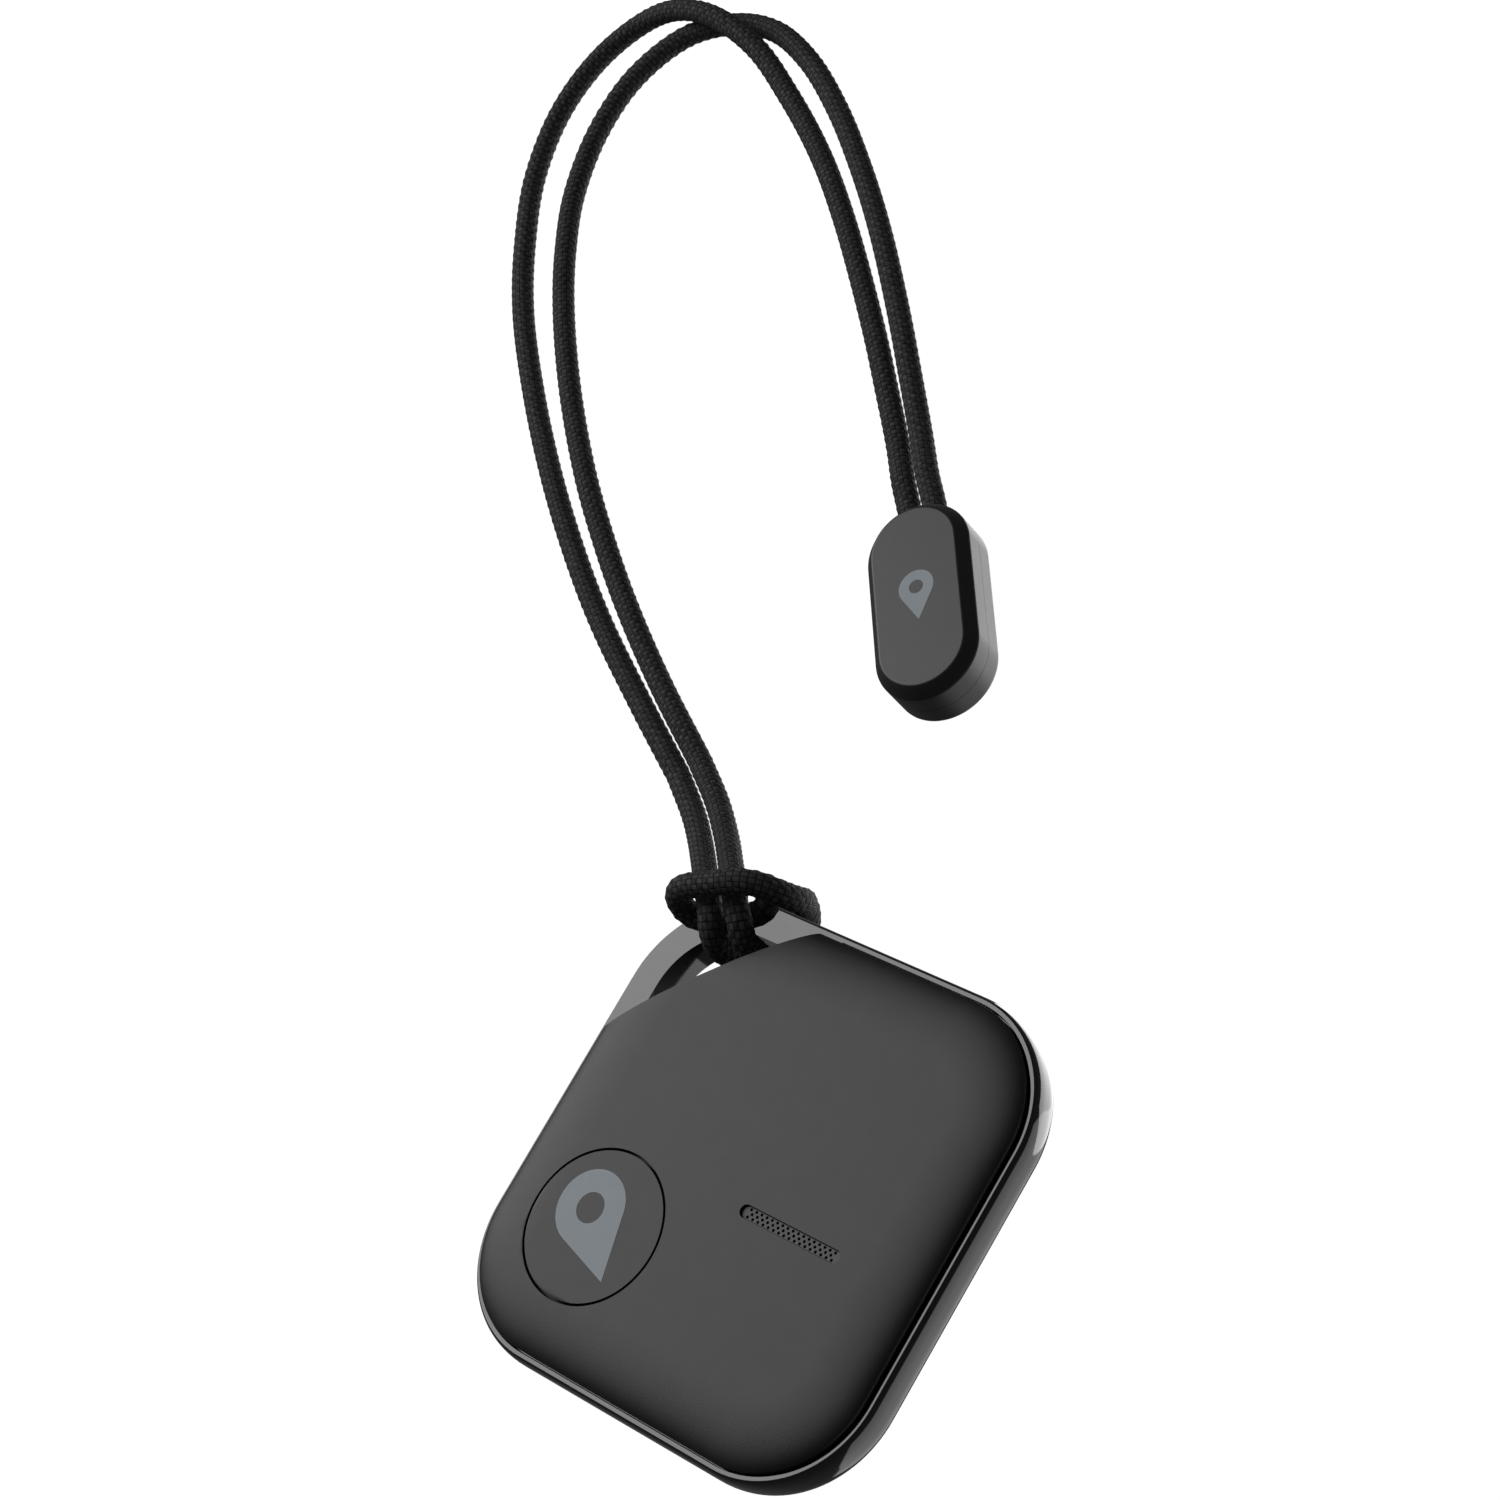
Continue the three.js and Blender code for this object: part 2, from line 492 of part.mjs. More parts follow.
// ---- Cord ---------------------------------------------------------------------------------------------
// A plain tube along the given points, short of both ends by half a gap where it meets the next stretch.
function tube(points, steps) {
  const curve = new THREE.CatmullRomCurve3(points.map((point) => new THREE.Vector3(...point)));
  const section = new THREE.Shape();
  for (let side = 0; side < CORD_SIDES; side++) {
    const angle = ((side + 0.5) * 2 * Math.PI) / CORD_SIDES;
    section[side ? "lineTo" : "moveTo"](CORD_RADIUS * Math.cos(angle), CORD_RADIUS * Math.sin(angle));
  }
  section.closePath();
  return new THREE.ExtrudeGeometry(section, { extrudePath: curve, steps, curveSegments: 1 });
}

// The points with the first or the last one moved in along the cord by half a gap.
function shorten(points, end) {
  const made = points.map((point) => [...point]);
  const [tip, next] = end === "first" ? [made[0], made[1]] : [made.at(-1), made.at(-2)];
  const length = Math.hypot(...tip.map((value, axis) => next[axis] - value));
  tip.forEach((value, axis) => {
    tip[axis] = value + ((next[axis] - value) * CORD_GAP) / 2 / length;
  });
  return made;
}

// ---- Assembly -----------------------------------------------------------------------------------------
const tag = new THREE.Group();

function add(name, geometry, material) {
  const mesh = new THREE.Mesh(geometry, material);
  mesh.name = name;
  tag.add(mesh);
}

const addSolid = (name, body, material) => add(name, geometryOf(body), material);

addSolid("front_cover", frontCover(), MATT_BLACK);
addSolid("mid_frame", midFrame(), GLOSS_BLACK);
addSolid("back_cover", backCover(), MATT_BLACK);
addSolid("seal_ring", sealRing(), SOFT_BLACK);

addSolid("button_cap", buttonCap(), MATT_BLACK);
addSolid("switch_base", switchBase(), CHIP_BLACK);
addSolid("switch_dome", switchDome(), STEEL);
addSolid("speaker_grille", speakerGrille(), SOFT_BLACK);

const sounder = sounderPieces();
addSolid("sounder_ring", sounder.ring, FOAM);
addSolid("sounder_plate", sounder.plate, BRASS);
addSolid("sounder_disc", sounder.disc, CERAMIC);

addSolid("main_board", mainBoard(), BOARD_GREEN);
for (const [name, x, y, width, depth, height] of CHIPS) {
  addSolid(name, chip(x, y, width, depth, height), name.startsWith("capacitor") ? CERAMIC : CHIP_BLACK);
}

const cell = cellPieces();
addSolid("cell_can", cell.can, STEEL);
addSolid("cell_gasket", cell.gasket, SOFT_BLACK);
addSolid("cell_cap", cell.cap, STEEL);
addSolid("cell_core", cell.core, CHIP_BLACK);
addSolid("cell_holder", cellHolder(), CHIP_BLACK);
addSolid("positive_contact", positiveContact(), COPPER);
addSolid("negative_contact", negativeContact(), COPPER);

const shells = stopperShells();
add("stopper_front", placeStopper(shells.front), MATT_BLACK);
add("stopper_rear", placeStopper(shells.rear), MATT_BLACK);
add("cord_crimp", placeStopper(cordCrimp()), BRASS);

add("cord_first_strand", tube(shorten(FIRST_STRAND, "last"), STRAND_STEPS), BRAID);
add("cord_hitch", tube(shorten(shorten(HITCH, "first"), "last"), HITCH_STEPS), BRAID);
add("cord_second_strand", tube(shorten(SECOND_STRAND, "first"), STRAND_STEPS), BRAID);

export default tag;
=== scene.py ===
"""A bluetooth tracker tag with a braided cord loop: its looks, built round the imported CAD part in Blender.

Pieces are modelled in millimetres in the CAD part's own frame and scaled to metres when they are finished.
"""

import math

import bmesh
import bpy
import numpy as np
from mathutils import Matrix, Vector


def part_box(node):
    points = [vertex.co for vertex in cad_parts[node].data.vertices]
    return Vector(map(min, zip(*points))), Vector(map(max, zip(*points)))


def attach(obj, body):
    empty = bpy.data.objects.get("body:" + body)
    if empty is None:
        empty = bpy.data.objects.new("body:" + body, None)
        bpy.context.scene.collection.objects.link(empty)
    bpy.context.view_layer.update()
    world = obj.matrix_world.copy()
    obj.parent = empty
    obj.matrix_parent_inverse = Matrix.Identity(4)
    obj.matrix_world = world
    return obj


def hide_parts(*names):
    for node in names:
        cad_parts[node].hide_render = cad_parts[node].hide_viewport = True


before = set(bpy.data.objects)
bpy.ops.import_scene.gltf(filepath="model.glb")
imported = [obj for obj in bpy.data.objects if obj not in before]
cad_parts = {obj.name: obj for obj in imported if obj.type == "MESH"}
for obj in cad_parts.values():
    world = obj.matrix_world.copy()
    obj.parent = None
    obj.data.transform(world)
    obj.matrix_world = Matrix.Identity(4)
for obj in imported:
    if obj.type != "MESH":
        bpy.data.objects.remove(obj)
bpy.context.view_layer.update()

MM = 0.001

# ---- Sizes of the case, in millimetres, as in the CAD part --------------------------------------------
FRAME_HALF = 18.5
FRAME_CORNER = 8.8
FRAME_BULGE = 0.38
WALL_FLAT = 0.3
RIM_WIDTH = 0.3
EYELET_WIDTH = 2.35
CORNER_CUT = 16.7
CUT_RADIUS = 120.0
FIT = 0.1
COVER_ROUND = 5.0
COVER_DOME = 0.95
BUTTON = (-8.75, -8.06)
BUTTON_RADIUS = 5.77
BUTTON_GAP = 0.2
SLOT = (6.5, -2.15)
SLOT_LENGTH = 9.4
SLOT_WIDTH = 1.0
EDGE_ROUND = 0.05
MARGIN = 1.0  # how far cutting shapes reach past what they cut
BEYOND = -4.0  # an inset that puts an outline well outside the case

CORD_RADIUS = 1.0
CORD_SPACING = 2.1  # between the two cord channels in the stopper
STOPPER_PLACE = (-13.8, 44.8)
STOPPER_TURN = math.radians(-51.75)
STOPPER_LENGTH = 17.5
STOPPER_WIDTH = 8.64
STOPPER_HEIGHT = 5.25
STOPPER_CHAMFER_RUN = 0.78
STOPPER_CHAMFER_DROP = 0.94
STOPPER_EDGE_ROUND = 0.14
SPLIT_GAP = 0.03

# The cord's route, as in the CAD part.
FIRST_STRAND = [
    (-13.8, 43.15, 2.62), (-20.1, 51, 2.55), (-23.3, 54.1, 2.1), (-26.3, 57.1, 1.4), (-30.9, 61.7, 1),
    (-35.8, 66.7, 1), (-44.6, 75, 1), (-50.9, 80.2, 1), (-57.5, 84.7, 1.3), (-63.2, 88, 2.3),
    (-69, 89.6, 3.15), (-73.9, 89.5, 2.8), (-78.2, 88, 1.5), (-80.9, 84.1, 1), (-81.5, 78.4, 1),
    (-79.8, 71.5, 1), (-76.1, 64.8, 1), (-71.8, 58.9, 1), (-65.4, 52.2, 1), (-57.9, 45.4, 1),
    (-50.6, 39.6, 1), (-44.2, 35.1, 1), (-36.2, 30.25, 1), (-28.65, 25.9, 1),
]
HITCH = [
    (-28.65, 25.9, 1), (-24.35, 23.3, 2.1), (-20.85, 21.2, 3.9), (-17.1, 18.95, 6.3), (-14.5, 17.3, 7.9),
    (-12.8, 15.9, 8.5), (-12.15, 14.6, 7.8), (-12.1, 14.05, 6.6), (-12.15, 14, 5.3), (-12.2, 14.15, 4),
    (-12.15, 14.35, 2.65), (-12.15, 14.95, 1.55), (-12.2, 16.1, 1.15), (-12.2, 17.7, 1.15),
    (-12.1, 18.95, 1.45), (-11.95, 19.65, 2.6), (-11.4, 19.85, 4), (-10.85, 19.8, 5.1), (-10.35, 19.35, 6),
    (-10.1, 18.6, 6.4), (-10.2, 17.75, 6.45), (-11.1, 16.95, 6.4), (-12.15, 16.2, 6.4), (-13.5, 15.75, 6.4),
    (-14.6, 15.35, 6.7), (-15.3, 15.25, 7.5), (-15.6, 15.6, 8.8), (-15, 16.15, 9.9), (-13.9, 16.6, 10.4),
    (-11.85, 17.4, 10.65), (-9.9, 18.35, 10.45), (-8.75, 18.8, 9.7), (-7.95, 19.05, 8.6),
    (-7.7, 19.35, 7.35), (-7.85, 19.65, 6.2), (-8.35, 19.9, 5.1), (-9.05, 19.95, 4), (-9.6, 19.8, 2.55),
    (-9.9, 19.05, 1.4), (-10.05, 17.8, 1.15), (-10.05, 16.5, 1.15), (-10.05, 15.5, 1.55),
    (-10.02, 15, 2.65), (-10, 15.04, 4.1), (-9.98, 15.06, 5.5), (-9.97, 15.2, 6.9), (-10.15, 16, 8.05),
    (-11, 17.1, 8.55), (-12.4, 18.3, 8), (-15.1, 20, 6.3), (-18.8, 22.25, 3.9), (-22.95, 24.9, 2.1),
    (-27.5, 27.6, 1),
]
SECOND_STRAND = [
    (-27.5, 27.6, 1), (-35.15, 32.15, 1), (-42.2, 36.8, 1), (-47.9, 41, 1), (-54.6, 46.5, 1),
    (-61.8, 53.5, 1), (-67.7, 60.3, 1), (-71.3, 65.4, 1), (-74.2, 70.8, 1), (-75.9, 77.4, 1),
    (-75.5, 83.4, 1), (-72.6, 88.3, 1), (-68, 90.5, 1), (-63.4, 90.6, 1), (-58.1, 88.6, 1), (-52, 84.7, 1),
    (-45.9, 79.8, 1), (-40.4, 74.8, 1), (-34.2, 68.5, 1), (-29.3, 63.2, 1), (-24.8, 58.5, 1.4),
    (-21.7, 55.4, 2.1), (-18.45, 52.3, 2.55), (-12.15, 44.45, 2.62),
]

# ---- Heights and places from the frame ----------------------------------------------------------------
def low_z(node):
    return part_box(node)[0][2] / MM


def high_z(node):
    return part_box(node)[1][2] / MM


FRAME_BOTTOM = low_z("mid_frame")
FRAME_TOP = high_z("mid_frame")
CROWN = high_z("front_cover")
SOUNDER_GAP = 0.025
CEILING = high_z("sounder_ring") + SOUNDER_GAP
BOARD_BOTTOM = low_z("main_board")


# ---- Camera -------------------------------------------------------------------------------------------
LENS = 86.17  # millimetres, over a sensor 36 mm wide
SENSOR_WIDTH = 36
CAMERA_PLACE = (0.15292, -0.02088, 0.20663)
CAMERA_RIGHT = Vector((0.7131, 0.5029, -0.4884))
CAMERA_UP = Vector((-0.2849, 0.8445, 0.4535))


def make_camera():
    camera = bpy.data.objects.new("camera", bpy.data.cameras.new("camera"))
    camera.data.lens = LENS
    camera.data.sensor_width = SENSOR_WIDTH
    camera.data.clip_start = 0.01
    back = CAMERA_RIGHT.cross(CAMERA_UP)
    turn = Matrix((CAMERA_RIGHT, CAMERA_UP, back)).transposed().to_4x4()
    camera.matrix_world = Matrix.Translation(CAMERA_PLACE) @ turn
    bpy.context.collection.objects.link(camera)
    bpy.context.scene.camera = camera


make_camera()


# ---- Mesh helpers -------------------------------------------------------------------------------------
def new_object(name, verts, faces):
    mesh = bpy.data.meshes.new(name)
    mesh.from_pydata([tuple(v) for v in verts], [], faces)
    mesh.validate()
    obj = bpy.data.objects.new(name, mesh)
    bpy.context.collection.objects.link(obj)
    return obj


def loft(name, rings, capped=True):
    """A closed skin through rings of the same number of points, with a flat cap on each end."""
    count = len(rings[0])
    verts = [point for ring in rings for point in ring]
    faces = []
    for i in range(len(rings) - 1):
        for j in range(count):
            k = (j + 1) % count
            faces.append((i * count + j, i * count + k, (i + 1) * count + k, (i + 1) * count + j))
    if capped:
        faces.append(tuple(reversed(range(count))))
        faces.append(tuple(range((len(rings) - 1) * count, len(rings) * count)))
    return new_object(name, verts, faces)


def prism(name, outline, low, high):
    return loft(name, [[(x, y, low) for x, y in outline], [(x, y, high) for x, y in outline]])


def boolean(obj, tool, operation):
    modifier = obj.modifiers.new(operation, "BOOLEAN")
    modifier.operation = operation
    modifier.solver = "EXACT"
    modifier.object = tool
    bake_modifiers(obj)
    bpy.data.objects.remove(tool)
    return obj


def bake_modifiers(obj):
    graph = bpy.context.evaluated_depsgraph_get()
    graph.update()
    mesh = bpy.data.meshes.new_from_object(obj.evaluated_get(graph))
    obj.modifiers.clear()
    obj.data = mesh


def subtract(obj, *tools):
    for tool in tools:
        boolean(obj, tool, "DIFFERENCE")
    return obj


def unite(obj, *others):
    for other in others:
        boolean(obj, other, "UNION")
    return obj


def soften_edges(obj, width, segments=2, angle=32):
    """Rounds every crease over the given angle."""
    modifier = obj.modifiers.new("soften", "BEVEL")
    modifier.width = width
    modifier.segments = segments
    modifier.limit_method = "ANGLE"
    modifier.angle_limit = math.radians(angle)
    bake_modifiers(obj)


def weigh_normals(obj):
    """Lets flat faces keep their own normals where they meet rounded ones."""
    modifier = obj.modifiers.new("weigh", "WEIGHTED_NORMAL")
    modifier.keep_sharp = True
    modifier.weight = 50
    bake_modifiers(obj)


def finish_piece(obj, body, node_names, material, crease=30, weighed=True):
    """Scales a piece to metres, shades it, and ties it to the frame."""
    obj.data.transform(Matrix.Scale(MM, 4))
    obj.data.materials.clear()
    obj.data.materials.append(material)
    obj.data.shade_smooth()
    obj.data.set_sharp_from_angle(angle=math.radians(crease))
    if weighed:
        weigh_normals(obj)
    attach(obj, body)
    if node_names:
        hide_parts(*node_names)
    return obj


# ---- Outlines -----------------------------------------------------------------------------------------
def arc(centre, radius, start, end, steps):
    angles = np.linspace(start, end, steps + 1)
    return [(centre[0] + radius * math.cos(a), centre[1] + radius * math.sin(a)) for a in angles]


CORNER_STEPS = 28


def tag_outline(inset, cut=None):
    """The case's rounded square moved in by inset, with its eyelet corner cut off at a given distance."""
    half = FRAME_HALF - inset
    radius = FRAME_CORNER - inset
    arm = half - radius
    quarter = math.pi / 2
    points = arc((-arm, -arm), radius, 2 * quarter, 3 * quarter, CORNER_STEPS)
    points += arc((arm, -arm), radius, 3 * quarter, 4 * quarter, CORNER_STEPS)
    points += arc((arm, arm), radius, 0, quarter, CORNER_STEPS)
    if cut is None:
        points += arc((-arm, arm), radius, quarter, 2 * quarter, CORNER_STEPS)
    else:
        bow = CUT_RADIUS + cut - CORNER_CUT
        middle = (bow - cut) / math.sqrt(2)
        reach = math.asin((half + middle) / bow)
        points += arc((middle, -middle), bow, math.pi - reach, quarter + reach, CORNER_STEPS)
    return points


def stadium(length, width, centre=(0, 0), steps=24):
    radius = width / 2
    arm = length / 2 - radius
    quarter = math.pi / 2
    right = arc((centre[0] + arm, centre[1]), radius, -quarter, quarter, steps)
    left = arc((centre[0] - arm, centre[1]), radius, quarter, 3 * quarter, steps)
    return right + left


def circle(centre, radius, steps=96):
    return arc(centre, radius, 0, 2 * math.pi, steps)[:-1]


def eased_levels(inset, run, low, rise, steps):
    """(inset, z) pairs of a quarter ellipse that leaves upright at low and turns in by run over rise."""
    levels = []
    for i in range(steps + 1):
        angle = math.pi / 2 * i / steps
        levels.append((inset + run * (1 - math.cos(angle)), low + rise * math.sin(angle)))
    return levels


def skin(name, levels):
    return loft(name, [[(x, y, z) for x, y in tag_outline(inset)] for inset, z in levels])


# ---- Node helpers for materials -----------------------------------------------------------------------
def linear(hex_colour):
    """An sRGB colour such as "#3a3a3b" as linear RGBA."""
    values = [int(hex_colour[i : i + 2], 16) / 255 for i in (1, 3, 5)]
    return [v / 12.92 if v <= 0.04045 else ((v + 0.055) / 1.055) ** 2.4 for v in values] + [1]


class Shader:
    """A material's node tree with short calls for the nodes used here."""

    def __init__(self, name):
        self.material = bpy.data.materials.new(name)
        self.material.use_nodes = True
        self.tree = self.material.node_tree
        self.surface = self.tree.nodes["Principled BSDF"]
        self.coords = self.tree.nodes.new("ShaderNodeTexCoord")

    def node(self, kind, **inputs):
        made = self.tree.nodes.new(kind)
        for key, value in inputs.items():
            self.feed(made, key, value)
        return made

    def feed(self, node, key, value):
        socket = node.inputs[key] if isinstance(key, int) else node.inputs[key.replace("_", " ")]
        if isinstance(value, bpy.types.NodeSocket):
            self.tree.links.new(value, socket)
        else:
            socket.default_value = value

    def math(self, operation, a, b=0.0):
        made = self.tree.nodes.new("ShaderNodeMath")
        made.operation = operation
        self.feed(made, 0, a)
        self.feed(made, 1, b)
        return made.outputs[0]

    def noise(self, scale, detail=3.0, roughness=0.5, stretch=None, coords=None):
        source = coords or self.coords.outputs["Object"]
        if stretch:
            mapping = self.node("ShaderNodeMapping", Vector=source, Scale=stretch)
            source = mapping.outputs[0]
        made = self.node("ShaderNodeTexNoise", Vector=source, Scale=scale, Detail=detail, Roughness=roughness)
        return made.outputs["Fac"]

    def spread(self, value, low, high, to_low=0.0, to_high=1.0):
        made = self.node("ShaderNodeMapRange", Value=value)
        made.inputs["From Min"].default_value = low
        made.inputs["From Max"].default_value = high
        made.inputs["To Min"].default_value = to_low
        made.inputs["To Max"].default_value = to_high
        return made.outputs["Result"]

    def blend(self, factor, first, second):
        made = self.tree.nodes.new("ShaderNodeMix")
        made.data_type = "RGBA"
        self.feed(made, 0, factor)
        self.feed(made, 6, first)
        self.feed(made, 7, second)
        return made.outputs[2]

    def bump(self, height, distance, strength=1.0, normal=None):
        made = self.node("ShaderNodeBump", Height=height, Distance=distance, Strength=strength)
        if normal:
            self.feed(made, "Normal", normal)
        return made.outputs[0]

    def set(self, **values):
        for key, value in values.items():
            self.feed(self.surface, key, value)


def matt_plastic(name, colour, worn, roughness, grain=9000.0, level=0.28):
    """Moulded plastic with a fine spark texture, faint clouding, and slightly paler edges."""
    s = Shader(name)
    cloud = s.noise(700, 4)
    fine = s.noise(grain, 2)
    edge = s.node("ShaderNodeNewGeometry").outputs["Pointiness"]
    wear = s.math("MULTIPLY", s.spread(edge, 0.52, 0.62), s.noise(900, 3))
    base = s.blend(s.spread(cloud, 0.3, 0.7, 0, 0.6), linear(colour), linear(worn))
    s.set(
        Base_Color=s.blend(s.math("MULTIPLY", wear, 0.35), base, linear(worn)),
        Roughness=s.spread(cloud, 0.3, 0.7, roughness - 0.008, roughness + 0.008),
        Normal=s.bump(fine, 0.000012, 0.5),
    )
    s.surface.inputs["Specular IOR Level"].default_value = level
    return s.material


def gloss_plastic(name, colour, worn, roughness):
    """Polished plastic with a faint orange peel and hairline scratches in its gloss."""
    s = Shader(name)
    scratch = s.noise(500, 2, 0.4, stretch=(1, 18, 6))
    haze = s.noise(160, 4)
    base_roughness = s.spread(haze, 0.3, 0.7, roughness, roughness + 0.04)
    s.set(
        Base_Color=s.blend(s.spread(haze, 0.35, 0.75), linear(colour), linear(worn)),
        Roughness=s.math("ADD", s.spread(scratch, 0.62, 0.8, 0, 0.1), base_roughness),
        Normal=s.bump(s.noise(420, 2), 0.000006, 0.4),
    )
    s.surface.inputs["IOR"].default_value = 1.5
    return s.material


def metal(name, colour, worn, roughness, stretch):
    """Bare metal brushed across the axis that is stretched, with faint stains."""
    s = Shader(name)
    brushed = s.noise(1500, 3, 0.6, stretch=stretch)
    stain = s.noise(200, 4)
    s.set(
        Base_Color=s.blend(s.spread(stain, 0.4, 0.7), linear(colour), linear(worn)),
        Roughness=s.spread(brushed, 0.3, 0.7, roughness - 0.06, roughness + 0.08),
        Normal=s.bump(brushed, 0.000006, 0.5),
    )
    s.surface.inputs["Metallic"].default_value = 1.0
    return s.material


def rubber(name, colour, worn):
    """Matt rubber with fine pores."""
    s = Shader(name)
    pores = s.noise(6000, 3)
    s.set(
        Base_Color=s.blend(s.spread(s.noise(300, 3), 0.35, 0.7), linear(colour), linear(worn)),
        Roughness=s.spread(pores, 0.3, 0.7, 0.72, 0.88),
        Normal=s.bump(pores, 0.00002, 0.6),
    )
    return s.material


def ceramic(name, colour, worn):
    """A dull fired or pressed surface with a fine grain."""
    s = Shader(name)
    grain = s.noise(4000, 3)
    s.set(
        Base_Color=s.blend(s.spread(s.noise(700, 4), 0.35, 0.7), linear(colour), linear(worn)),
        Roughness=s.spread(grain, 0.3, 0.7, 0.5, 0.66),
        Normal=s.bump(grain, 0.00001, 0.5),
    )
    return s.material


def circuit_board(name, colour, track):
    """Solder resist with faint copper tracks showing through."""
    s = Shader(name)
    cells = s.node("ShaderNodeTexVoronoi", Vector=s.coords.outputs["Object"], Scale=420.0)
    cells.distance = "CHEBYCHEV"
    lines = s.spread(cells.outputs["Distance"], 0.32, 0.36)
    s.set(
        Base_Color=s.blend(lines, linear(colour), linear(track)),
        Roughness=s.spread(s.noise(900, 3), 0.3, 0.7, 0.32, 0.46),
        Normal=s.bump(lines, 0.00003, 0.6),
    )
    return s.material


def braid(name, dark, light):
    """A fine braid: yarn cells that alternate between painted light where they rise and painted shade where
    they sink, painted darker still at their rims where they dive under, with fibres along them.
    """
    s = Shader(name)
    along = s.node("ShaderNodeUVMap")
    along.uv_map = "braid"
    uv = along.outputs[0]
    parts = s.node("ShaderNodeSeparateXYZ", Vector=uv)
    u, v = parts.outputs[0], parts.outputs[1]
    snapped = s.node("ShaderNodeVectorMath", Vector=uv)
    snapped.operation = "FLOOR"
    cell = s.node("ShaderNodeTexWhiteNoise", Vector=snapped.outputs[0])
    # Painted light and shade: the cells that rise are painted lighter and the sunken cells between them
    # darker.
    over = s.math("PINGPONG", s.math("ADD", s.math("FLOOR", u), s.math("FLOOR", v)), 1.0)
    # The rim masks below make the cells' bump and also a painted shade that darkens each cell towards its
    # rims, where the yarn dives under.
    rim_u = s.spread(s.math("PINGPONG", u, 0.5), 0.0, 0.16)
    rim_v = s.spread(s.math("PINGPONG", v, 0.5), 0.0, 0.2)
    crown_height_and_rim_shade = s.math("MULTIPLY", rim_u, rim_v)
    fibres = s.noise(5.0, 3, 0.6, stretch=(2.5, 1.0, 1.0), coords=uv)
    fuzz = s.noise(2500, 4, 0.7)
    # Painted light of the raised cells, mixed with a random brightness per cell.
    yarn = s.math("ADD", s.math("MULTIPLY", over, 0.4), s.math("MULTIPLY", cell.outputs["Value"], 0.35))
    tone_with_painted_light = s.math("MULTIPLY", s.math("ADD", yarn, s.math("MULTIPLY", fibres, 0.45)), crown_height_and_rim_shade)
    s.set(
        Base_Color=s.blend(tone_with_painted_light, linear(dark), linear(light)),
        Roughness=s.spread(fuzz, 0.3, 0.7, 0.62, 0.8),
        Normal=s.bump(fibres, 0.00004, 0.7, normal=s.bump(crown_height_and_rim_shade, 0.00005, 0.9)),
    )
    s.surface.inputs["Specular IOR Level"].default_value = 0.15
    return s.material


COVER = matt_plastic("cover_matt_plastic", "#0e0e0f", "#121213", 0.46)
STOPPER = matt_plastic("stopper_matt_plastic", "#0f0f10", "#131314", 0.42, level=0.34)
GLOSS = gloss_plastic("frame_gloss_plastic", "#060607", "#0a0a0b", 0.06)
GRILLE = matt_plastic("grille_plastic", "#0e0e0f", "#151516", 0.4)
MARK = matt_plastic("mark_print", "#757c82", "#7d848a", 0.5, 14000.0)
SEAL = rubber("seal_rubber", "#151516", "#1c1c1d")
CHIP = matt_plastic("chip_plastic", "#141417", "#1c1c20", 0.45)
BOARD = circuit_board("board_resist", "#0f3524", "#1c5038")
BRASS = metal("sounder_brass", "#c79a4a", "#a87c3a", 0.3, (1, 6, 1))
CONTACT = metal("contact_brass", "#b98f55", "#97713f", 0.34, (6, 1, 1))
STEEL = metal("cell_steel", "#b9bbbd", "#9ea1a4", 0.28, (1, 8, 1))
CERAMIC = ceramic("sounder_ceramic", "#cfc8b4", "#bfb69f")
CORE = ceramic("cell_core_powder", "#1c1c1f", "#28282b")
# The paler colour shows on raised cells, so it is partly painted light.
BRAID = braid("cord_braid", "#040404", "#3c3c3c")


# ---- Cord ---------------------------------------------------------------------------------------------
BRAID_SIDES = 28  # points round the cord
BRAID_STEP = 0.15  # distance between rings along the cord
BRAID_CELLS = 7  # pairs of yarn cells round the cord
BRAID_PITCH = 0.9  # length of a pair of yarn cells along the cord
BRAID_RELIEF = 0.05  # height of a cell above the mean surface
CORD_NODES = ["cord_first_strand", "cord_hitch", "cord_second_strand"]


def centripetal(points, per_span=40):
    """The centripetal Catmull-Rom curve through the points, as three.js draws it."""
    points = np.asarray(points, float)
    padded = np.vstack([2 * points[0] - points[1], points, 2 * points[-1] - points[-2]])
    curve = []
    for p0, p1, p2, p3 in zip(padded, padded[1:], padded[2:], padded[3:]):
        d0, d1, d2 = (math.sqrt(np.linalg.norm(b - a)) for a, b in ((p0, p1), (p1, p2), (p2, p3)))
        t1 = ((p1 - p0) / d0 - (p2 - p0) / (d0 + d1) + (p2 - p1) / d1) * d1
        t2 = ((p2 - p1) / d1 - (p3 - p1) / (d1 + d2) + (p3 - p2) / d2) * d1
        for t in np.linspace(0, 1, per_span, endpoint=False):
            cubic = (2 * p1 - 2 * p2 + t1 + t2) * t**3
            square = (-3 * p1 + 3 * p2 - 2 * t1 - t2) * t**2
            curve.append(p1 + t1 * t + square + cubic)
    curve.append(points[-1])
    return np.array(curve)


def resample(curve, step):
    """Even steps along a curve, and its length."""
    travel = np.r_[0, np.cumsum(np.linalg.norm(np.diff(curve, axis=0), axis=1))]
    count = int(round(travel[-1] / step)) + 1
    marks = np.linspace(0, travel[-1], count)
    return np.stack([np.interp(marks, travel, curve[:, k]) for k in range(3)], axis=1), travel[-1]


def frames_along(path):
    """Tangents and two side vectors that turn with the path and never twist about it."""
    tangents = np.gradient(path, axis=0)
    tangents /= np.linalg.norm(tangents, axis=1)[:, None]
    side = np.cross(tangents[0], (0, 0, 1))
    sides = []
    for tangent in tangents:
        side = side - tangent * np.dot(side, tangent)
        side /= np.linalg.norm(side)
        sides.append(side)
    sides = np.array(sides)
    return tangents, sides, np.cross(tangents, sides)


